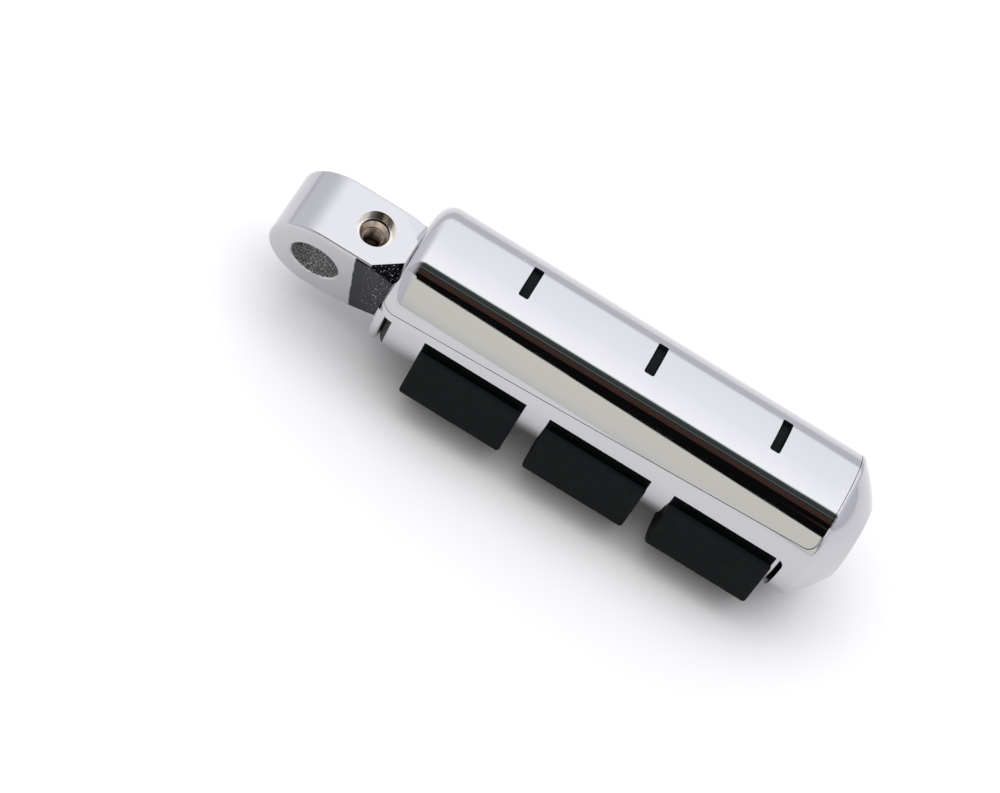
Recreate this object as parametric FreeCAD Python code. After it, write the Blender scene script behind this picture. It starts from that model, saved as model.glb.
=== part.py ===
import FreeCAD, Part  # FreeCAD has to come first

import math
import os

from FreeCAD import Vector

# Motorcycle foot peg with a single-lug pivot mount and a rubber-padded tread.
#
# Frame, in millimetres: the origin is the centre of the pivot bore, +X runs out along the peg, and +Z is
# the side of the slotted cover, so the peg lies on its rubber pads as it does off the machine. In use it
# is turned over about X.

# --- driving dimensions ---------------------------------------------------------------------------

# Mount lug: a flat tongue that folds in the machine's clevis, with a round spigot inside the tread.
LUG_THICK = 13.9
LUG_OFFSET_Y = -1.5  # the tongue's middle stands this far off the peg's axis, along the bore
LUG_END_R = 9.9
LUG_LOW_CURVE_R = 36.0  # the underside curves up towards the tread
LUG_TURN = 16.0  # degrees that the clamped lug is turned about X against the tread
LUG_EDGE_R = 0.7
BORE_R = 4.9
FACET_START_X = 9.4  # a triangular facet takes off each upper corner at the root
FACET_WIDTH = 4.4
FACET_DROP = 1.3
TAPPED_HOLE_X = 7.2  # small blind tapped hole in the lug's flat, just clear of the bore
TAPPED_HOLE_Y = -1.1
TAPPED_HOLE_R = 2.1
TAPPED_HOLE_STEP_R = 2.9
TAPPED_HOLE_MOUTH_R = 3.65
TAPPED_HOLE_MOUTH_Z = 8.2
TAPPED_HOLE_STEP_Z = 7.2
TAPPED_HOLE_FLOOR_Z = 1.0
SPIGOT_R = 7.0
SPIGOT_END_X = 40.0
THREAD_R = 4.05
THREAD_DEPTH = 20.0

# Chrome shell: a slotted cover above, and a body casting below with rails, an end disc and a domed end.
SHELL_R = 15.0
SHELL_WALL = 1.3
SHELL_X = 15.0  # inner face, against the lug's shoulder
SHELL_CORNER_R = 3.4
COVER_END_WALL = 2.0
DOME_X = 105.7  # joint between the cover and the domed end
COVER_EDGE_INNER_Z = 3.4  # height of the cover's lower edge at the lug
COVER_EDGE_OUTER_Z = 6.7  # and at the dome
COVER_CORNER_R = 1.8
COVER_SEAM = 0.12
RAIL_EDGE_Z = 1.9  # lower edge of the body's two rails
WINDOW_END_X = 102.7
WINDOW_CORNER_R = 1.4
DISC_R = 14.0
DISC_THICK = 2.2
DISC_EDGE_R = 0.8
DOME_RIM_X = 106.25
DOME_RIM_EDGE_R = 1.1
DOME_FRONT_X = 112.2
DOME_FRONT_R = 7.95
DOME_BULGE = 0.35
DOME_FRONT_EDGE_R = 0.6
DOME_BOSS_R = 8.5
DOME_BOSS_X = 98.5
COUNTERBORE_R = 6.9

# Rubber pads and the ribbed core that carries them.
PAD_PITCH = 26.8
PAD_CENTRES = [36.6 + PAD_PITCH * i for i in range(3)]
PAD_NAMES = ["inner", "middle", "outer"]
PAD_LENGTH = 21.8
PAD_HALF_WIDTH = 16.7
PAD_NECK_Y = 14.3
PAD_NECK_TOP_Z = 1.1
PAD_GROOVE_Z = -1.2  # floor of the groove between the neck and the lip
PAD_GROOVE_Y = 15.3
PAD_LIP_Y = 15.8
PAD_LIP_Z = 0.3
PAD_LIP_R = 0.35
PAD_FLANK_LOW_Z = -11.2
PAD_TREAD_Z = -19.3
PAD_CORNER_R = 1.2
PAD_END_R = 0.6
SLOT_LENGTH = 8.3
SLOT_WIDTH = 2.1
SLOT_CORNER_R = 0.4
NIB_SIDE_GAP = 0.15
NIB_R = 13.95
GROOVE_R = 11.0
RIB_R = 14.2
CORE_TOP_R = 13.6  # the half of the core and the rings that lies inside the cover
RIB_EDGE_R = 0.4
CORE_START_EDGE_R = 2.2
CORE_END_X = 102.1
CORE_HOLLOW_R = 6.0

# Bolt and lock washer.
BOLT_R = 4.0
BOLT_HOLE_R = 4.3
BOLT_LENGTH = 80.0
HEAD_R = 6.5
HEAD_HEIGHT = 8.0
HEAD_RECESS = 0.9
SOCKET_ACROSS_FLATS = 6.0
SOCKET_DEPTH = 4.7
LOCK_WASHER_THICK = 2.0
LOCK_WASHER_R = 6.35
LOCK_WASHER_SPLIT = 0.8
WASHER_BORE_R = 4.1

GAP = 0.05  # air between pieces that sit against each other
REACH = 40.0  # longer than any radius here, for cutting tools

CORE_X = SHELL_X + DISC_THICK + GAP
HEAD_X = DOME_FRONT_X - HEAD_RECESS - HEAD_HEIGHT  # underside of the bolt's head
COUNTERBORE_X = HEAD_X - LOCK_WASHER_THICK - GAP


# --- helpers --------------------------------------------------------------------------------------


def cylinder(radius, x0, x1):
    """A cylinder about the X axis."""
    return Part.makeCylinder(radius, x1 - x0, Vector(x0, 0, 0), Vector(1, 0, 0))


def block(x0, x1, y0, y1, z0, z1):
    return Part.makeBox(x1 - x0, y1 - y0, z1 - z0, Vector(x0, y0, z0))


def turned(edges):
    """A solid of revolution about X. The edges close a profile of points (x, radius)."""
    face = Part.Face(Part.Wire(edges))
    return face.revolve(Vector(0, 0, 0), Vector(1, 0, 0), 360)


def profile_point(x, r):
    return Vector(x, 0, r)


def chain(points):
    """Straight edges that close a loop through the points."""
    return [Part.LineSegment(a, b).toShape() for a, b in zip(points, points[1:] + points[:1])]


def side_prism(edges):
    """A face in the XZ plane, pulled through the whole part along Y."""
    face = Part.Face(Part.Wire(edges))
    face.translate(Vector(0, -REACH, 0))
    return face.extrude(Vector(0, 2 * REACH, 0))


def rounded_corner(before, corner, after, radius):
    """The arc that rounds a corner between two straight runs, with its two ends."""
    towards_before = (before - corner).normalize()
    towards_after = (after - corner).normalize()
    half = towards_before.getAngle(towards_after) / 2
    start = corner + towards_before * (radius / math.tan(half))
    end = corner + towards_after * (radius / math.tan(half))
    bisector = (towards_before + towards_after).normalize()
    middle = corner + bisector * (radius / math.sin(half) - radius)
    return start, Part.Arc(start, middle, end).toShape(), end


def circle_edges_at(shape, x, radius):
    """Full circles about X with that radius, in the plane at x."""
    found = []
    for edge in shape.Edges:
        curve = edge.Curve
        if not isinstance(curve, Part.Circle):
            continue
        if abs(curve.Radius - radius) < 1e-3 and abs(curve.Center.x - x) < 1e-3:
            found.append(edge)
    return found


def save(name, shape):
    shape = shape.removeSplitter()
    solids = shape.Solids
    shape = solids[0] if len(solids) == 1 else Part.makeCompound(solids)
    ok = shape.isValid() and all(s.isClosed() for s in solids)
    shape.exportStep("parts/" + name + ".step")
    print(f"{name:20s} solids {len(solids)}  volume {shape.Volume:9.1f}  {'ok' if ok else 'BAD'}")


# --- mount lug ------------------------------------------------------------------------------------


def mount_lug():
    shoulder = SHELL_X - GAP
    lug = lug_tongue()
    for side in (-1, 1):
        lug = lug.cut(root_facet(side))
    spigot = cylinder(SPIGOT_R, shoulder - 2, SPIGOT_END_X)
    spigot = spigot.makeChamfer(0.8, circle_edges_at(spigot, SPIGOT_END_X, SPIGOT_R))
    lug = lug.fuse(spigot)
    lug = lug.cut(cylinder(THREAD_R, SPIGOT_END_X - THREAD_DEPTH, SPIGOT_END_X + 1))
    lug = lug.cut(pivot_bore())
    lug = lug.cut(tapped_hole())
    lug.rotate(Vector(0, 0, 0), Vector(1, 0, 0), LUG_TURN)
    return lug


def lug_tongue():
    """The tongue seen along the bore: a round end, a straight flat above and a long curve below."""
    shoulder = SHELL_X - GAP
    top = Vector(0, 0, LUG_END_R)
    low = Vector(0, 0, -LUG_END_R)
    root_top = Vector(shoulder, 0, LUG_END_R)
    root_low = low_curve_point(shoulder)
    outline = [
        Part.Arc(top, Vector(-LUG_END_R, 0, 0), low).toShape(),
        Part.Arc(low, low_curve_point(shoulder / 2), root_low).toShape(),
        Part.LineSegment(root_low, root_top).toShape(),
        Part.LineSegment(root_top, top).toShape(),
    ]
    face = Part.Face(Part.Wire(outline))
    face.translate(Vector(0, LUG_OFFSET_Y - LUG_THICK / 2, 0))
    tongue = face.extrude(Vector(0, LUG_THICK, 0))
    rim = [e for e in tongue.Edges if e.BoundBox.YLength < 1e-6 and e.BoundBox.XLength > 1e-3]
    return tongue.makeFillet(LUG_EDGE_R, rim)


def low_curve_point(x):
    """A point of the underside's curve, which leaves the round end without a kink."""
    rise = LUG_LOW_CURVE_R - math.sqrt(LUG_LOW_CURVE_R**2 - x**2)
    return Vector(x, 0, rise - LUG_END_R)


def root_facet(side):
    """The wedge cut off one upper corner, above a plane from a point on the edge down to the shoulder."""
    shoulder = SHELL_X - GAP
    edge_y = LUG_OFFSET_Y + side * LUG_THICK / 2
    tip = Vector(FACET_START_X, edge_y, LUG_END_R)
    inner = Vector(shoulder, edge_y - side * FACET_WIDTH, LUG_END_R)
    lowest = Vector(shoulder, edge_y, LUG_END_R - FACET_DROP)
    upward = (inner - tip).cross(lowest - tip).normalize()
    if upward.z < 0:
        upward = -upward
    wedge = Part.makeBox(REACH, REACH, REACH, Vector(-REACH / 2, -REACH / 2, 0))
    wedge.Placement = FreeCAD.Placement(tip, FreeCAD.Rotation(Vector(0, 0, 1), upward)) * wedge.Placement
    return wedge


def pivot_bore():
    """The bore along Y with a small chamfer at each mouth."""
    half = LUG_THICK / 2
    chamfer = 0.3
    start = Vector(0, LUG_OFFSET_Y - half - 1, 0)
    bore = Part.makeCylinder(BORE_R, 2 * half + 2, start, Vector(0, 1, 0))
    for side in (-1, 1):
        mouth = Vector(0, LUG_OFFSET_Y + side * (half - chamfer), 0)
        bore = bore.fuse(Part.makeCone(BORE_R, BORE_R + chamfer, chamfer, mouth, Vector(0, side, 0)))
    return bore


def tapped_hole():
    """The blind tapped hole in the lug's flat, with a stepped mouth on top and a drill point below."""
    x, y = TAPPED_HOLE_X, TAPPED_HOLE_Y
    cone_height = TAPPED_HOLE_STEP_R - TAPPED_HOLE_R
    floor_z = TAPPED_HOLE_FLOOR_Z
    hole = Part.makeCylinder(TAPPED_HOLE_R, REACH, Vector(x, y, floor_z))
    point = Part.makeCone(0, TAPPED_HOLE_R, 1.2, Vector(x, y, floor_z - 1.2))
    mouth = Part.makeCylinder(TAPPED_HOLE_MOUTH_R, REACH, Vector(x, y, TAPPED_HOLE_MOUTH_Z))
    step = Part.makeCylinder(TAPPED_HOLE_STEP_R, REACH, Vector(x, y, TAPPED_HOLE_STEP_Z))
    cone_start = Vector(x, y, TAPPED_HOLE_STEP_Z - cone_height)
    cone = Part.makeCone(TAPPED_HOLE_R, TAPPED_HOLE_STEP_R, cone_height, cone_start)
    return hole.fuse([point, mouth, step, cone])


# --- chrome shell ---------------------------------------------------------------------------------


def closed_shell(wall):
    """The full round shell, closed at its inner end, that the cover and the body are cut from."""
    inner_r = SHELL_R - SHELL_WALL
    corner_in = SHELL_CORNER_R - wall
    bend = SHELL_CORNER_R * (1 - math.sqrt(0.5))
    inner_bend = corner_in * (1 - math.sqrt(0.5))
    axis_out = profile_point(SHELL_X, 0)
    outer_start = profile_point(SHELL_X, SHELL_R - SHELL_CORNER_R)
    outer_mid = profile_point(SHELL_X + bend, SHELL_R - bend)
    outer_end = profile_point(SHELL_X + SHELL_CORNER_R, SHELL_R)
    mouth_out = profile_point(DOME_X, SHELL_R)
    mouth_in = profile_point(DOME_X, inner_r)
    inner_start = profile_point(SHELL_X + wall + corner_in, inner_r)
    inner_mid = profile_point(SHELL_X + wall + inner_bend, inner_r - inner_bend)
    inner_end = profile_point(SHELL_X + wall, inner_r - corner_in)
    axis_in = profile_point(SHELL_X + wall, 0)
    return turned(
        [
            Part.LineSegment(axis_out, outer_start).toShape(),
            Part.Arc(outer_start, outer_mid, outer_end).toShape(),
            Part.LineSegment(outer_end, mouth_out).toShape(),
            Part.LineSegment(mouth_out, mouth_in).toShape(),
            Part.LineSegment(mouth_in, inner_start).toShape(),
            Part.Arc(inner_start, inner_mid, inner_end).toShape(),
            Part.LineSegment(inner_end, axis_in).toShape(),
            Part.LineSegment(axis_in, axis_out).toShape(),
        ]
    )


def cover_region(gap):
    """Everything above the cover's lower edge, whose outer corner is rounded. A gap widens it all round."""
    left = SHELL_X - 1
    slope = (COVER_EDGE_OUTER_Z - COVER_EDGE_INNER_Z) / (DOME_X - SHELL_X)
    top_left = Vector(left, 0, REACH)
    edge_left = Vector(left, 0, COVER_EDGE_INNER_Z - slope - gap)
    corner = Vector(DOME_X - COVER_SEAM + gap, 0, COVER_EDGE_OUTER_Z - gap)
    top_right = Vector(corner.x, 0, REACH)
    start, arc, end = rounded_corner(edge_left, corner, top_right, COVER_CORNER_R)
    return side_prism(
        [
            Part.LineSegment(top_left, edge_left).toShape(),
            Part.LineSegment(edge_left, start).toShape(),
            arc,
            Part.LineSegment(end, top_right).toShape(),
            Part.LineSegment(top_right, top_left).toShape(),
        ]
    )


def slot_tool(centre_x):
    half_x, half_y = SLOT_WIDTH / 2, SLOT_LENGTH / 2
    tool = block(centre_x - half_x, centre_x + half_x, -half_y, half_y, GROOVE_R, REACH)
    upright = [e for e in tool.Edges if e.BoundBox.ZLength > 1]
    return tool.makeFillet(SLOT_CORNER_R, upright)


def slotted_cover():
    cover = closed_shell(COVER_END_WALL).common(cover_region(0))
    cover = cover.cut(cylinder(SPIGOT_R + GAP, SHELL_X - 1, SHELL_X + COVER_END_WALL + 1))
    for centre in PAD_CENTRES:
        cover = cover.cut(slot_tool(centre))
    return cover


def window_region():
    """The long opening under the rails that the pads come out of, with rounded outer corners."""
    left = SHELL_X + DISC_THICK
    corner = Vector(WINDOW_END_X, 0, RAIL_EDGE_Z)
    top_left = Vector(left, 0, RAIL_EDGE_Z)
    low_right = Vector(WINDOW_END_X, 0, -REACH)
    low_left = Vector(left, 0, -REACH)
    start, arc, end = rounded_corner(top_left, corner, low_right, WINDOW_CORNER_R)
    return side_prism(
        [
            Part.LineSegment(top_left, start).toShape(),
            arc,
            Part.LineSegment(end, low_right).toShape(),
            Part.LineSegment(low_right, low_left).toShape(),
            Part.LineSegment(low_left, top_left).toShape(),
        ]
    )


def end_disc():
    """The plain disc that closes the body at the lug, with a rounded rim. It stands below the rails."""
    disc = cylinder(DISC_R, SHELL_X, SHELL_X + DISC_THICK)
    rims = circle_edges_at(disc, SHELL_X, DISC_R) + circle_edges_at(disc, SHELL_X + DISC_THICK, DISC_R)
    disc = disc.makeFillet(DISC_EDGE_R, rims)
    return disc.common(block(0, REACH, -REACH, REACH, -REACH, RAIL_EDGE_Z))


def dome():
    """The solid domed end with the counterbore for the bolt's head and a boss that plugs the core."""
    front = profile_point(DOME_FRONT_X, DOME_FRONT_R)
    rim = profile_point(DOME_RIM_X, SHELL_R)
    along = (front - rim).normalize()
    outward = Vector(-along.z, 0, along.x)
    middle = (front + rim) * 0.5 + outward * DOME_BULGE
    lip_r = CORE_TOP_R
    points = [
        front,
        profile_point(DOME_FRONT_X, COUNTERBORE_R),
        profile_point(COUNTERBORE_X, COUNTERBORE_R),
        profile_point(COUNTERBORE_X, BOLT_HOLE_R),
        profile_point(DOME_BOSS_X, BOLT_HOLE_R),
        profile_point(DOME_BOSS_X, DOME_BOSS_R),
        profile_point(DOME_X + 0.8, DOME_BOSS_R),
        profile_point(DOME_X + 0.8, lip_r - 1.5),
        profile_point(DOME_X - 1, lip_r - 1.5),
        profile_point(DOME_X - 1, lip_r),
        profile_point(DOME_X, lip_r),
        profile_point(DOME_X, SHELL_R),
        rim,
    ]
    edges = [Part.Arc(rim, middle, front).toShape()]
    edges += [Part.LineSegment(a, b).toShape() for a, b in zip(points, points[1:])]
    shape = turned(edges)
    shape = shape.makeFillet(DOME_RIM_EDGE_R, circle_edges_at(shape, DOME_RIM_X, SHELL_R))
    return shape.makeFillet(DOME_FRONT_EDGE_R, circle_edges_at(shape, DOME_FRONT_X, DOME_FRONT_R))


def peg_body():
    """One casting: end disc, two rails, the ring behind the dome, and the dome."""
    trough = closed_shell(DISC_THICK).cut(cover_region(COVER_SEAM)).cut(window_region())
    low_end = block(0, SHELL_X + DISC_THICK, -REACH, REACH, -REACH, RAIL_EDGE_Z)
    body = trough.cut(low_end).fuse([end_disc(), dome()])
    return body.cut(cylinder(SPIGOT_R + GAP, SHELL_X - 1, SHELL_X + DISC_THICK + 1))


# --- core and rubber pads -------------------------------------------------------------------------


def below_rails():
    """The space under the rails, where the core and the pads stand clear of the shell."""
    return block(0, 3 * REACH, -REACH, REACH, -REACH, RAIL_EDGE_Z - 0.1)


def core():
    """The ribbed core that carries the rubber. The lug's spigot and the dome's boss plug its two ends."""
    inside = cylinder(CORE_TOP_R, CORE_X, CORE_END_X)
    inside = inside.makeFillet(CORE_START_EDGE_R, circle_edges_at(inside, CORE_X, CORE_TOP_R))
    exposed = cylinder(RIB_R, CORE_X, CORE_END_X)
    exposed = exposed.makeFillet(RIB_EDGE_R, circle_edges_at(exposed, CORE_END_X, RIB_R))
    exposed = exposed.makeFillet(CORE_START_EDGE_R, circle_edges_at(exposed, CORE_X, RIB_R))
    body = inside.fuse(exposed.common(below_rails()))
    for centre in PAD_CENTRES:
        start, end = centre - PAD_LENGTH / 2, centre + PAD_LENGTH / 2
        body = body.cut(cylinder(REACH, start, end).cut(cylinder(GROOVE_R, start, end)))
    web_end = DOME_BOSS_X - GAP
    web_start = web_end - 5
    body = body.cut(cylinder(SPIGOT_R + GAP, CORE_X - 1, SPIGOT_END_X + 1))
    body = body.cut(cylinder(CORE_HOLLOW_R, SPIGOT_END_X, web_start))
    body = body.cut(cylinder(BOLT_HOLE_R, web_start - 1, web_end + 1))
    return body.cut(cylinder(DOME_BOSS_R + 0.1, web_end, CORE_END_X + 1))


def saddle_section():
    """The pad's section below the rails: neck, groove, lip, straight flank and a broad curved tread."""
    points = [
        Vector(0, PAD_NECK_Y, PAD_NECK_TOP_Z),
        Vector(0, PAD_NECK_Y, PAD_GROOVE_Z),
        Vector(0, PAD_GROOVE_Y, PAD_GROOVE_Z),
        Vector(0, PAD_LIP_Y, PAD_LIP_Z),
        Vector(0, PAD_HALF_WIDTH, PAD_LIP_Z),
        Vector(0, PAD_HALF_WIDTH, PAD_FLANK_LOW_Z),
    ]
    mirrored = [Vector(0, -p.y, p.z) for p in reversed(points)]
    edges = [Part.LineSegment(a, b).toShape() for a, b in zip(points, points[1:])]
    edges.append(Part.Arc(points[-1], Vector(0, 0, PAD_TREAD_Z), mirrored[0]).toShape())
    edges += [Part.LineSegment(a, b).toShape() for a, b in zip(mirrored, mirrored[1:])]
    edges.append(Part.LineSegment(mirrored[-1], points[0]).toShape())
    return Part.Face(Part.Wire(edges))


def long_edges(shape, length, z):
    """The edges that run the whole length along X at height z."""
    return [e for e in shape.Edges if e.BoundBox.XLength > length - 1e-3 and abs(e.CenterOfMass.z - z) < 1e-3]


def saddle(start_x, length):
    """The thick part of the pad, with its long corners and the rims of its end faces rounded."""
    shape = saddle_section().extrude(Vector(length, 0, 0))
    shape.translate(Vector(start_x, 0, 0))
    shape = shape.makeFillet(PAD_CORNER_R, long_edges(shape, length, PAD_FLANK_LOW_Z))
    lips = [e for e in long_edges(shape, length, PAD_LIP_Z) if abs(e.CenterOfMass.y) > PAD_LIP_Y + 0.01]
    shape = shape.makeFillet(PAD_LIP_R, lips)
    rims = []
    for edge in shape.Edges:
        across = edge.BoundBox.XLength < 1e-6
        outside = edge.BoundBox.YLength < 0.01 and abs(edge.CenterOfMass.y) > PAD_HALF_WIDTH - 0.01
        if across and (outside or edge.BoundBox.ZMax < PAD_FLANK_LOW_Z / 2):
            rims.append(edge)
    return shape.makeFillet(PAD_END_R, rims)


def rubber_pad(centre):
    """A rubber ring with a thick saddle below, and a nib above that locks in the cover's slot."""
    length = PAD_LENGTH - 2 * GAP
    start_x = centre - length / 2
    half_x, half_y = SLOT_WIDTH / 2 - NIB_SIDE_GAP, SLOT_LENGTH / 2 - NIB_SIDE_GAP
    ring = cylinder(CORE_TOP_R, start_x, start_x + length)
    nib = cylinder(NIB_R, centre - half_x, centre + half_x)
    nib = nib.common(block(centre - half_x, centre + half_x, -half_y, half_y, GROOVE_R, REACH))
    pad = ring.fuse([saddle(start_x, length), nib])
    return pad.cut(cylinder(GROOVE_R + GAP, start_x - 1, start_x + length + 1))


# --- bolt and washer ------------------------------------------------------------------------------


def end_bolt():
    tip_x = HEAD_X - BOLT_LENGTH
    head_end = HEAD_X + HEAD_HEIGHT
    bolt = turned(
        chain(
            [
                profile_point(tip_x, 0),
                profile_point(tip_x, BOLT_R - 0.9),
                profile_point(tip_x + 0.9, BOLT_R),
                profile_point(HEAD_X, BOLT_R),
                profile_point(HEAD_X, HEAD_R - 0.2),
                profile_point(HEAD_X + 0.2, HEAD_R),
                profile_point(head_end - 0.5, HEAD_R),
                profile_point(head_end, HEAD_R - 0.5),
                profile_point(head_end, 0),
            ]
        )
    )
    across_corners_r = SOCKET_ACROSS_FLATS / math.sqrt(3)
    floor_x = head_end - SOCKET_DEPTH
    corners = []
    for i in range(6):
        angle = math.radians(60 * i)
        y = across_corners_r * math.cos(angle)
        z = across_corners_r * math.sin(angle)
        corners.append(Vector(floor_x, y, z))
    socket = Part.Face(Part.Wire(chain(corners))).extrude(Vector(SOCKET_DEPTH + 1, 0, 0))
    drill_point = Part.makeCone(0, SOCKET_ACROSS_FLATS / 2, 1.2, Vector(floor_x - 1.2, 0, 0), Vector(1, 0, 0))
    mouth_start = Vector(head_end - 0.4, 0, 0)
    mouth = Part.makeCone(across_corners_r - 0.4, across_corners_r, 0.4, mouth_start, Vector(1, 0, 0))
    return bolt.cut(socket.fuse([drill_point, mouth]))


def lock_washer():
    """A split spring washer, drawn flat as it is when the bolt is tight."""
    x1 = HEAD_X - GAP / 2
    x0 = COUNTERBORE_X + GAP / 2
    washer = cylinder(LOCK_WASHER_R, x0, x1).cut(cylinder(WASHER_BORE_R, x0 - 1, x1 + 1))
    half = LOCK_WASHER_SPLIT / 2
    split = block(x0 - 2, x1 + 2, -half, half, 0, REACH)
    split.rotate(Vector((x0 + x1) / 2, 0, 0), Vector(0, 0, 1), 25)
    return washer.cut(split)


# --- build ----------------------------------------------------------------------------------------


def main():
    os.makedirs("parts", exist_ok=True)
    save("mount_lug", mount_lug())
    save("slotted_cover", slotted_cover())
    save("peg_body", peg_body())
    save("core", core())
    for name, centre in zip(PAD_NAMES, PAD_CENTRES):
        save("rubber_pad_" + name, rubber_pad(centre))
    save("end_bolt", end_bolt())
    save("lock_washer", lock_washer())


main()
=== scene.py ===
"""Chrome motorcycle foot peg with rubber tread pads, on a white table under soft light."""

import math

import bmesh
import bpy
from mathutils import Matrix, Vector


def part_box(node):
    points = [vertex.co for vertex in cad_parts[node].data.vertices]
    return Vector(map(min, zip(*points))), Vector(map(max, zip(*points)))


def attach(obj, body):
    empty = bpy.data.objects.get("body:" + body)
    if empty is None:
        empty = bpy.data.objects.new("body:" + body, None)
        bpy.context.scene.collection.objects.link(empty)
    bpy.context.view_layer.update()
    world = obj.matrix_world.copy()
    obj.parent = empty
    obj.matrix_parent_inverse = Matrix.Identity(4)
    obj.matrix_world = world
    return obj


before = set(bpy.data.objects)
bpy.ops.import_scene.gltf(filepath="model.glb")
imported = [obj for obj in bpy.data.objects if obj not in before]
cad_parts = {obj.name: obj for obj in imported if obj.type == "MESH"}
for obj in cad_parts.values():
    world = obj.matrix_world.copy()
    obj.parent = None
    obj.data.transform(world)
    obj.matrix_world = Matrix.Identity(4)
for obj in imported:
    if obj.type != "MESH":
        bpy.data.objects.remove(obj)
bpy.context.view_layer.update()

# --- driving dimensions, in metres ----------------------------------------------------------------

MM = 0.001

# The lug is turned about X against the tread. Its sizes below are in its own turned frame.
LUG_TURN = math.radians(16)
LUG_NEAR_Y = -8.45 * MM
LUG_TOP_Z = 9.9 * MM
LUG_REFLECTION_X = 8.4 * MM  # from here to the root the near face gets a painted dark reflection
LUG_PITTED_X = 9.8 * MM  # from here on it gets pitted as well
FACET_START_X = 10.2 * MM
FACET_DROP = 1.5 * MM
FACET_NEAR_Y = -4.0 * MM
BORE_R = 4.9 * MM

TAPPED_HOLE_X = 7.2 * MM
TAPPED_HOLE_Y = -1.1 * MM
TAPPED_HOLE_R = 2.1 * MM
TAPPED_HOLE_STEP_R = 2.9 * MM
TAPPED_HOLE_MOUTH_R = 3.65 * MM
THREAD_PITCH = 0.8 * MM
THREAD_TOP_Z = 6.1 * MM
THREAD_TURNS = 6
THREAD_HEIGHT = 0.38 * MM
THREAD_SUNK = 0.02 * MM  # how far the ridge's foot reaches into the wall
THREAD_FOOT = 0.34 * THREAD_PITCH  # half the ridge's width at the wall
THREAD_CREST = 0.06 * THREAD_PITCH  # half its width at the crest

SHELL_INSIDE_R = 14.0 * MM
SHELL_X = 15 * MM
SHELL_BEVEL = 2.3 * MM
DOME_X = 105.7 * MM

# The camera looks from the front and above, rolled so that the peg slopes down to the right.
VIEW_ELEVATION = math.radians(48)
VIEW_ROLL = math.radians(31.5)
VIEW_DISTANCE = 0.522
VIEW_TARGET_X = 42.5 * MM
VIEW_TARGET_DOWN = 11 * MM
LENS_MM = 100.8
SENSOR_MM = 36

TABLE_SIZE = 6
TABLE_GAP = 0.2 * MM
TABLE_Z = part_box("rubber_pad_middle")[0][2] - TABLE_GAP

# The room's tone by angle about the peg's long axis: 0 is overhead, 90 is level in front.
ROOM_STRENGTH = 1.7
ROOM_BANDS = [
    (-180, (0.42, 0.42, 0.44)),
    (-100, (0.44, 0.44, 0.48)),
    (-74, (0.46, 0.46, 0.50)),
    (-68, (0.78, 0.78, 0.82)),
    (-20, (0.83, 0.83, 0.87)),
    (19, (0.94, 0.94, 0.96)),
    # a dark gap with one light line
    (21, (0.045, 0.050, 0.048)),
    (27.2, (0.026, 0.030, 0.029)),
    (27.8, (0.17, 0.19, 0.18)),
    (28.4, (0.024, 0.028, 0.027)),
    (31.8, (0.014, 0.016, 0.016)),
    # three brown lines in it
    (32.8, (0.085, 0.042, 0.032)),
    (33.6, (0.030, 0.016, 0.013)),
    (34.5, (0.090, 0.042, 0.031)),
    (35.3, (0.026, 0.013, 0.010)),
    (36.2, (0.078, 0.035, 0.027)),
    # black
    (37.6, (0.003, 0.003, 0.003)),
    (49.4, (0.003, 0.003, 0.003)),
    # a warm grey wall
    (50.4, (0.57, 0.555, 0.50)),
    (80, (0.55, 0.54, 0.50)),
    (100, (0.44, 0.44, 0.43)),
    (180, (0.42, 0.42, 0.44)),
]
# Degrees by which the black band's lower edge drops for each unit of the direction's x.
BLACK_WIDENING = 73


# --- node helpers ---------------------------------------------------------------------------------


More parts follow.
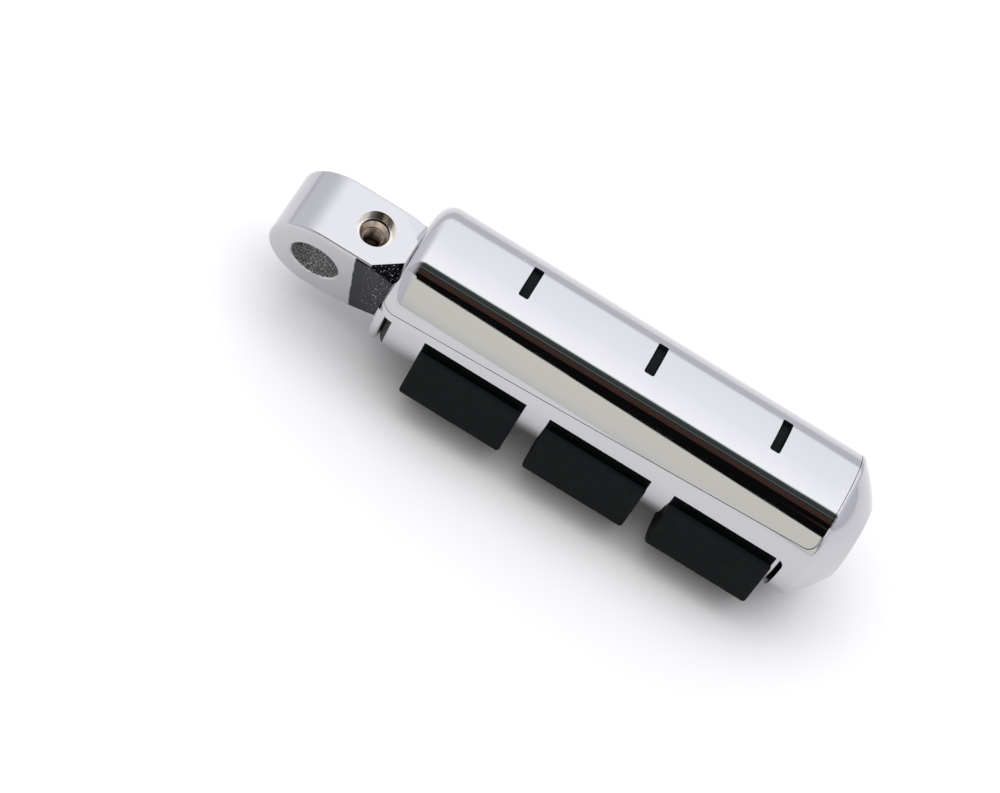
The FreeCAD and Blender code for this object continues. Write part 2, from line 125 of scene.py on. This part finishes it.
class Nodes:
    """A material's or world's node tree, with short calls to add and join nodes."""

    def __init__(self, owner):
        owner.use_nodes = True
        self.tree = owner.node_tree
        self.tree.nodes.clear()

    def add(self, kind, **settings):
        node = self.tree.nodes.new("ShaderNode" + kind)
        for key, value in settings.items():
            setattr(node, key, value)
        return node

    def link(self, source, target):
        self.tree.links.new(source, target)

    def put(self, socket, value):
        """Joins a socket to another, or sets its plain value."""
        if isinstance(value, bpy.types.NodeSocket):
            self.link(value, socket)
        else:
            socket.default_value = value

    def math(self, operation, a, b=0.0, clamp=False):
        node = self.add("Math", operation=operation, use_clamp=clamp)
        self.put(node.inputs[0], a)
        self.put(node.inputs[1], b)
        return node.outputs[0]

    def length(self, a, b):
        """The length of a two-part vector."""
        squares = self.math("ADD", self.math("POWER", a, 2.0), self.math("POWER", b, 2.0))
        return self.math("SQRT", squares)

    def all_of(self, *masks):
        product = masks[0]
        for mask in masks[1:]:
            product = self.math("MULTIPLY", product, mask)
        return product

    def place(self):
        return self.add("TexCoord").outputs["Object"]

    def noise(self, place, scale, detail=4.0, roughness=0.55):
        node = self.add("TexNoise")
        self.link(place, node.inputs["Vector"])
        node.inputs["Scale"].default_value = scale
        node.inputs["Detail"].default_value = detail
        node.inputs["Roughness"].default_value = roughness
        return node.outputs["Fac"]

    def ramp(self, factor, low, high, out_low=0.0, out_high=1.0):
        """Maps low..high of the factor to out_low..out_high, smoothly and clamped."""
        node = self.add("MapRange", interpolation_type="SMOOTHSTEP")
        self.put(node.inputs["Value"], factor)
        node.inputs["From Min"].default_value = low
        node.inputs["From Max"].default_value = high
        node.inputs["To Min"].default_value = out_low
        node.inputs["To Max"].default_value = out_high
        return node.outputs["Result"]

    def mix(self, factor, a, b):
        node = self.add("Mix", data_type="RGBA")
        self.put(node.inputs["Factor"], factor)
        self.put(node.inputs["A"], a)
        self.put(node.inputs["B"], b)
        return node.outputs["Result"]

    def mix_value(self, factor, a, b):
        node = self.add("Mix", data_type="FLOAT")
        self.put(node.inputs["Factor"], factor)
        self.put(node.inputs["A"], a)
        self.put(node.inputs["B"], b)
        return node.outputs["Result"]

    def bump(self, height, distance, strength=1.0, under=None):
        node = self.add("Bump")
        self.put(node.inputs["Height"], height)
        node.inputs["Distance"].default_value = distance
        node.inputs["Strength"].default_value = strength
        if under is not None:
            self.link(under, node.inputs["Normal"])
        return node.outputs["Normal"]

    def specks(self, place, scale, share):
        """Small scattered dots, in that share of the Voronoi cells."""
        cells = self.add("TexVoronoi")
        self.link(place, cells.inputs["Vector"])
        cells.inputs["Scale"].default_value = scale
        dot = self.math("LESS_THAN", cells.outputs["Distance"], 0.09)
        pick = self.add("SeparateColor")
        self.link(cells.outputs["Color"], pick.inputs["Color"])
        chosen = self.math("LESS_THAN", pick.outputs[0], share)
        return self.math("MULTIPLY", dot, chosen)

    def surface(self, colour, metallic, roughness, normal=None, **extra):
        shader = self.add("BsdfPrincipled")
        self.put(shader.inputs["Base Color"], colour)
        self.put(shader.inputs["Metallic"], metallic)
        self.put(shader.inputs["Roughness"], roughness)
        if normal is not None:
            self.link(normal, shader.inputs["Normal"])
        for name, value in extra.items():
            self.put(shader.inputs[name.replace("_", " ")], value)
        output = self.add("OutputMaterial")
        self.link(shader.outputs[0], output.inputs["Surface"])


def rgb(r, g, b):
    return (r, g, b, 1.0)


# --- materials ------------------------------------------------------------------------------------


def chrome_parts(nodes, place):
    """Colour, roughness and normal of bright chrome, with faint haze, waves and dust."""
    haze = nodes.noise(place, 55, 3)
    colour = nodes.mix(haze, rgb(0.525, 0.53, 0.55), rgb(0.565, 0.565, 0.575))
    dust = nodes.specks(place, 420, 0.02)
    colour = nodes.mix(dust, colour, rgb(0.85, 0.84, 0.82))
    roughness = nodes.ramp(nodes.noise(place, 140, 5), 0.3, 0.8, 0.025, 0.06)
    roughness = nodes.mix_value(dust, roughness, 0.6)
    wave = nodes.bump(nodes.noise(place, 60, 2), 0.00005, 0.5)
    return colour, roughness, wave


def chrome():
    """Mirror chrome outside. The inside, seen through the slots, is dull and painted near-black as
    painted shade in the hollow.
    """
    material = bpy.data.materials.new("mirror_chrome")
    nodes = Nodes(material)
    place = nodes.place()
    colour, roughness, normal = chrome_parts(nodes, place)
    split = nodes.add("SeparateXYZ")
    nodes.link(place, split.inputs[0])
    x, y, z = split.outputs
    inner = nodes.math("LESS_THAN", nodes.length(y, z), SHELL_INSIDE_R)
    past_bevel = nodes.math("GREATER_THAN", x, SHELL_X + SHELL_BEVEL)
    before_dome = nodes.math("LESS_THAN", x, DOME_X)
    shaded_inside = nodes.all_of(inner, past_bevel, before_dome)
    metallic = nodes.mix_value(shaded_inside, 1.0, 0.0)
    # painted shade: the inside of the shell is near-black and not metallic
    colour = nodes.mix(shaded_inside, colour, rgb(0.010, 0.010, 0.011))
    roughness = nodes.mix_value(shaded_inside, roughness, 0.7)
    nodes.surface(colour, metallic, roughness, normal)
    return material


def lug_place(nodes, place):
    """x, y and z in the lug's own turned frame."""
    turned = nodes.add("VectorRotate", rotation_type="X_AXIS")
    nodes.link(place, turned.inputs["Vector"])
    turned.inputs["Angle"].default_value = -LUG_TURN
    split = nodes.add("SeparateXYZ")
    nodes.link(turned.outputs[0], split.inputs[0])
    return split.outputs


def painted_root_reflection(nodes, place, x, y, z):
    """Where the lug gets a painted dark reflection, and where that dark area is pitted: near face
    and facet at the root.
    """
    slant = nodes.math("ADD", x, nodes.math("MULTIPLY", z, 0.12))
    wobble = nodes.math("MULTIPLY", nodes.noise(place, 260, 2), 0.9 * MM)
    towards_root = nodes.math("ADD", slant, wobble)
    near_face = nodes.math("LESS_THAN", y, LUG_NEAR_Y + 0.25 * MM)
    past_edge = nodes.ramp(towards_root, LUG_REFLECTION_X, LUG_REFLECTION_X + 0.3 * MM)
    reflected_dark_side = nodes.all_of(past_edge, near_face)

    below_flat = nodes.math("LESS_THAN", z, LUG_TOP_Z - 0.02 * MM)
    upper = nodes.math("GREATER_THAN", z, LUG_TOP_Z - FACET_DROP)
    past_tip = nodes.math("GREATER_THAN", x, FACET_START_X)
    near_corner = nodes.math("LESS_THAN", y, FACET_NEAR_Y)
    facet = nodes.all_of(below_flat, upper, past_tip, near_corner)

    dark = nodes.math("MAXIMUM", reflected_dark_side, facet)
    rougher = nodes.ramp(towards_root, LUG_PITTED_X, LUG_PITTED_X + 4.2 * MM)
    pits = nodes.ramp(nodes.noise(place, 2600, 3, 0.6), 0.59, 0.66)
    return dark, nodes.all_of(dark, rougher, pits)


def lug_chrome():
    """Chrome, with cast metal in the bore, a painted dark reflection on the pitted plate at the
    root, and a bare tapped hole with painted shade deeper down.
    """
    material = bpy.data.materials.new("lug_chrome")
    nodes = Nodes(material)
    place = nodes.place()
    x, y, z = lug_place(nodes, place)
    dark, flecks = painted_root_reflection(nodes, place, x, y, z)

    in_bore = nodes.math("LESS_THAN", nodes.length(x, z), BORE_R + 0.1 * MM)
    along = nodes.math("SUBTRACT", x, TAPPED_HOLE_X)
    hole_distance = nodes.length(along, nodes.math("SUBTRACT", y, TAPPED_HOLE_Y))
    in_hole = nodes.math("LESS_THAN", hole_distance, TAPPED_HOLE_STEP_R - 0.1 * MM)
    in_mouth = nodes.math("LESS_THAN", hole_distance, TAPPED_HOLE_MOUTH_R + 0.02 * MM)
    grain = nodes.noise(place, 3600, 4, 0.65)
    # painted shade: the hole's wall darkens further down
    hole_shade = nodes.ramp(z, 5.9 * MM, 6.6 * MM)
    thread_tone_and_shade = nodes.mix(hole_shade, rgb(0.07, 0.05, 0.035), rgb(0.66, 0.55, 0.46))
    cast_share = nodes.ramp(grain, 0.44, 0.66)
    cast_tone = nodes.mix(cast_share, rgb(0.14, 0.145, 0.145), rgb(0.95, 0.95, 0.93))

    colour, roughness, normal = chrome_parts(nodes, place)
    # painted dark reflection: near-black stands in for dark rubber and shade reflected from below
    # the root
    colour = nodes.mix(dark, colour, rgb(0.017, 0.019, 0.025))
    colour = nodes.mix(flecks, colour, rgb(0.60, 0.60, 0.61))
    colour = nodes.mix(in_mouth, colour, rgb(0.66, 0.63, 0.58))
    colour = nodes.mix(in_hole, colour, thread_tone_and_shade)
    colour = nodes.mix(in_bore, colour, cast_tone)
    roughness = nodes.mix_value(flecks, roughness, 0.32)
    roughness = nodes.mix_value(in_mouth, roughness, 0.16)
    roughness = nodes.mix_value(in_hole, roughness, 0.26)
    roughness = nodes.mix_value(in_bore, roughness, 0.5)

    rough_height = nodes.math("MULTIPLY", grain, nodes.math("MAXIMUM", in_bore, flecks))
    normal = nodes.bump(rough_height, 0.00022, 0.9, normal)
    nodes.surface(colour, 1.0, roughness, normal)
    return material


def rubber():
    """Matte moulded rubber: fine grain, faint mottling and a little dust."""
    material = bpy.data.materials.new("tread_rubber")
    nodes = Nodes(material)
    place = nodes.place()
    mottle = nodes.ramp(nodes.noise(place, 220, 4), 0.3, 0.75)
    colour = nodes.mix(mottle, rgb(0.0028, 0.0040, 0.0044), rgb(0.0034, 0.0048, 0.0052))
    dust = nodes.specks(place, 330, 0.02)
    fluff = nodes.specks(place, 900, 0.012)
    colour = nodes.mix(nodes.math("MAXIMUM", dust, fluff), colour, rgb(0.16, 0.16, 0.155))
    roughness = nodes.ramp(nodes.noise(place, 400, 4), 0.3, 0.7, 0.62, 0.72)
    grain = nodes.noise(place, 2600, 3)
    normal = nodes.bump(grain, 0.00003, 0.4)
    nodes.surface(colour, 0.0, roughness, normal, Specular_IOR_Level=0.09)
    return material


def bolt_steel():
    """Satin stainless steel with a fine grain and darker flecks."""
    material = bpy.data.materials.new("bolt_steel")
    nodes = Nodes(material)
    place = nodes.place()
    grain = nodes.noise(place, 2200, 5, 0.7)
    colour = nodes.mix(grain, rgb(0.34, 0.33, 0.31), rgb(0.68, 0.66, 0.63))
    roughness = nodes.ramp(nodes.noise(place, 700, 4), 0.3, 0.7, 0.24, 0.42)
    normal = nodes.bump(grain, 0.00008, 0.6)
    nodes.surface(colour, 1.0, roughness, normal)
    return material


def thread_metal():
    """Bare metal of the tapped thread, with a warm tint, and painted shade that darkens it further
    down the hole.
    """
    material = bpy.data.materials.new("thread_metal")
    nodes = Nodes(material)
    place = nodes.place()
    stain = nodes.noise(place, 1200, 4)
    split = nodes.add("SeparateXYZ")
    nodes.link(place, split.inputs[0])
    # painted shade: the thread goes near-black further down the hole
    hole_shade = nodes.ramp(split.outputs["Z"], 2.0 * MM, 6.0 * MM)
    colour = nodes.mix(stain, rgb(0.26, 0.20, 0.15), rgb(0.56, 0.47, 0.39))
    colour = nodes.mix(hole_shade, rgb(0.015, 0.012, 0.010), colour)
    roughness = nodes.ramp(stain, 0.3, 0.7, 0.2, 0.38)
    normal = nodes.bump(stain, 0.00005, 0.4)
    nodes.surface(colour, 1.0, roughness, normal)
    return material


def floor_white():
    material = bpy.data.materials.new("white_table")
    nodes = Nodes(material)
    tone = nodes.noise(nodes.place(), 3, 2)
    colour = nodes.mix(tone, rgb(0.60, 0.60, 0.605), rgb(0.62, 0.62, 0.62))
    nodes.surface(colour, 0.0, 0.55)
    return material


# --- pieces ---------------------------------------------------------------------------------------


def paint(node, material):
    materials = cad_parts[node].data.materials
    materials.clear()
    materials.append(material)


def thread_ring(mesh, angle, z):
    """One cross-section of the thread's ridge: foot, crest, crest, foot."""
    foot_r = TAPPED_HOLE_R + THREAD_SUNK
    crest_r = TAPPED_HOLE_R - THREAD_HEIGHT
    profile = [
        (foot_r, THREAD_FOOT),
        (crest_r, THREAD_CREST),
        (crest_r, -THREAD_CREST),
        (foot_r, -THREAD_FOOT),
    ]
    ring = []
    for radius, offset in profile:
        x = TAPPED_HOLE_X + radius * math.cos(angle)
        y = TAPPED_HOLE_Y + radius * math.sin(angle)
        ring.append(mesh.verts.new((x, y, z + offset)))
    return ring


def hole_thread():
    """The ridge of the lug's small tapped hole, swept as a helix down its wall."""
    steps = 48
    mesh = bmesh.new()
    rings = []
    for i in range(THREAD_TURNS * steps + 1):
        turns = i / steps
        rings.append(thread_ring(mesh, 2 * math.pi * turns, THREAD_TOP_Z - turns * THREAD_PITCH))
    for a, b in zip(rings, rings[1:]):
        for j in range(4):
            k = (j + 1) % 4
            mesh.faces.new((a[j], a[k], b[k], b[j]))
    mesh.faces.new(rings[0])
    mesh.faces.new(list(reversed(rings[-1])))
    bmesh.ops.recalc_face_normals(mesh, faces=mesh.faces)
    data = bpy.data.meshes.new("hole_thread")
    mesh.to_mesh(data)
    mesh.free()
    piece = bpy.data.objects.new("hole_thread", data)
    bpy.context.scene.collection.objects.link(piece)
    data.transform(Matrix.Rotation(LUG_TURN, 4, "X"))
    data.materials.append(thread_metal())
    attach(piece, "mount")


# --- studio ---------------------------------------------------------------------------------------


def floor():
    bpy.ops.mesh.primitive_plane_add(size=TABLE_SIZE, location=(0.05, 0, TABLE_Z))
    plane = bpy.context.object
    plane.name = "table"
    plane.data.materials.append(floor_white())


def band_colours(nodes, degrees):
    """The room's colour at an angle about the peg's long axis."""
    ramp = nodes.add("ValToRGB")
    position = nodes.math("DIVIDE", nodes.math("ADD", degrees, 180.0), 360.0)
    nodes.link(position, ramp.inputs["Fac"])
    elements = ramp.color_ramp.elements
    for i, (angle, colour) in enumerate(ROOM_BANDS):
        position = (angle + 180) / 360
        element = elements[i] if i < 2 else elements.new(position)
        element.position = position
        element.color = (*colour, 1.0)
    return ramp.outputs["Color"]


def room_light():
    """A white room, with a dark gap high over the front, a warm grey wall below it and grey ends."""
    world = bpy.data.worlds.new("studio")
    bpy.context.scene.world = world
    nodes = Nodes(world)
    split = nodes.add("SeparateXYZ")
    nodes.link(nodes.add("TexCoord").outputs["Generated"], split.inputs[0])
    x, y, z = split.outputs
    angle = nodes.math("ARCTAN2", nodes.math("MULTIPLY", y, -1.0), z)
    degrees = nodes.math("MULTIPLY", angle, 180 / math.pi)
    black_edge = nodes.ramp(degrees, 41, 46)
    widening = nodes.math("MULTIPLY", black_edge, nodes.math("MULTIPLY", x, BLACK_WIDENING))
    degrees = nodes.math("SUBTRACT", degrees, widening)
    colour = band_colours(nodes, degrees)
    outer_end = nodes.ramp(x, 0.25, 0.7, 0.0, 0.85)
    inner_end = nodes.ramp(x, -0.25, -0.8, 0.0, 0.85)
    colour = nodes.mix(outer_end, colour, rgb(0.45, 0.45, 0.495))
    colour = nodes.mix(inner_end, colour, rgb(0.47, 0.47, 0.51))
    background = nodes.add("Background")
    nodes.link(colour, background.inputs["Color"])
    background.inputs["Strength"].default_value = ROOM_STRENGTH
    output = nodes.add("OutputWorld")
    nodes.link(background.outputs[0], output.inputs["Surface"])


def soft_box(name, place, target, width, height, watts):
    light = bpy.data.lights.new(name, "AREA")
    light.shape = "RECTANGLE"
    light.size = width
    light.size_y = height
    light.energy = watts
    lamp = bpy.data.objects.new(name, light)
    lamp.location = place
    direction = Vector(target) - Vector(place)
    lamp.rotation_euler = direction.to_track_quat("-Z", "Y").to_euler()
    lamp.visible_glossy = False
    bpy.context.scene.collection.objects.link(lamp)


def plain_view():
    """Colours shown as they are, so that the white table is white."""
    bpy.context.scene.view_settings.view_transform = "Standard"


def camera():
    towards = Vector((0, -math.cos(VIEW_ELEVATION), math.sin(VIEW_ELEVATION)))
    across = -Vector((0, math.sin(VIEW_ELEVATION), math.cos(VIEW_ELEVATION)))
    along = Vector((1, 0, 0))
    right = along * math.cos(VIEW_ROLL) - across * math.sin(VIEW_ROLL)
    down = along * math.sin(VIEW_ROLL) + across * math.cos(VIEW_ROLL)
    target = along * VIEW_TARGET_X + across * VIEW_TARGET_DOWN
    place = target + towards * VIEW_DISTANCE
    data = bpy.data.cameras.new("camera")
    data.lens = LENS_MM
    data.sensor_width = SENSOR_MM
    data.clip_start = 0.02
    eye = bpy.data.objects.new("camera", data)
    turn = Matrix((right, -down, towards)).transposed()
    eye.matrix_world = Matrix.Translation(place) @ turn.to_4x4()
    bpy.context.scene.collection.objects.link(eye)
    bpy.context.scene.camera = eye


# --- build ----------------------------------------------------------------------------------------

plain_chrome = chrome()
black_rubber = rubber()
steel = bolt_steel()
for node in ("slotted_cover", "peg_body", "core"):
    paint(node, plain_chrome)
for node in ("rubber_pad_inner", "rubber_pad_middle", "rubber_pad_outer"):
    paint(node, black_rubber)
for node in ("end_bolt", "lock_washer"):
    paint(node, steel)
paint("mount_lug", lug_chrome())
hole_thread()

floor()
room_light()
soft_box("top_light", (-0.05, -0.25, 1.2), (0.05, 0, 0), 1.8, 1.6, 20)
camera()
plain_view()
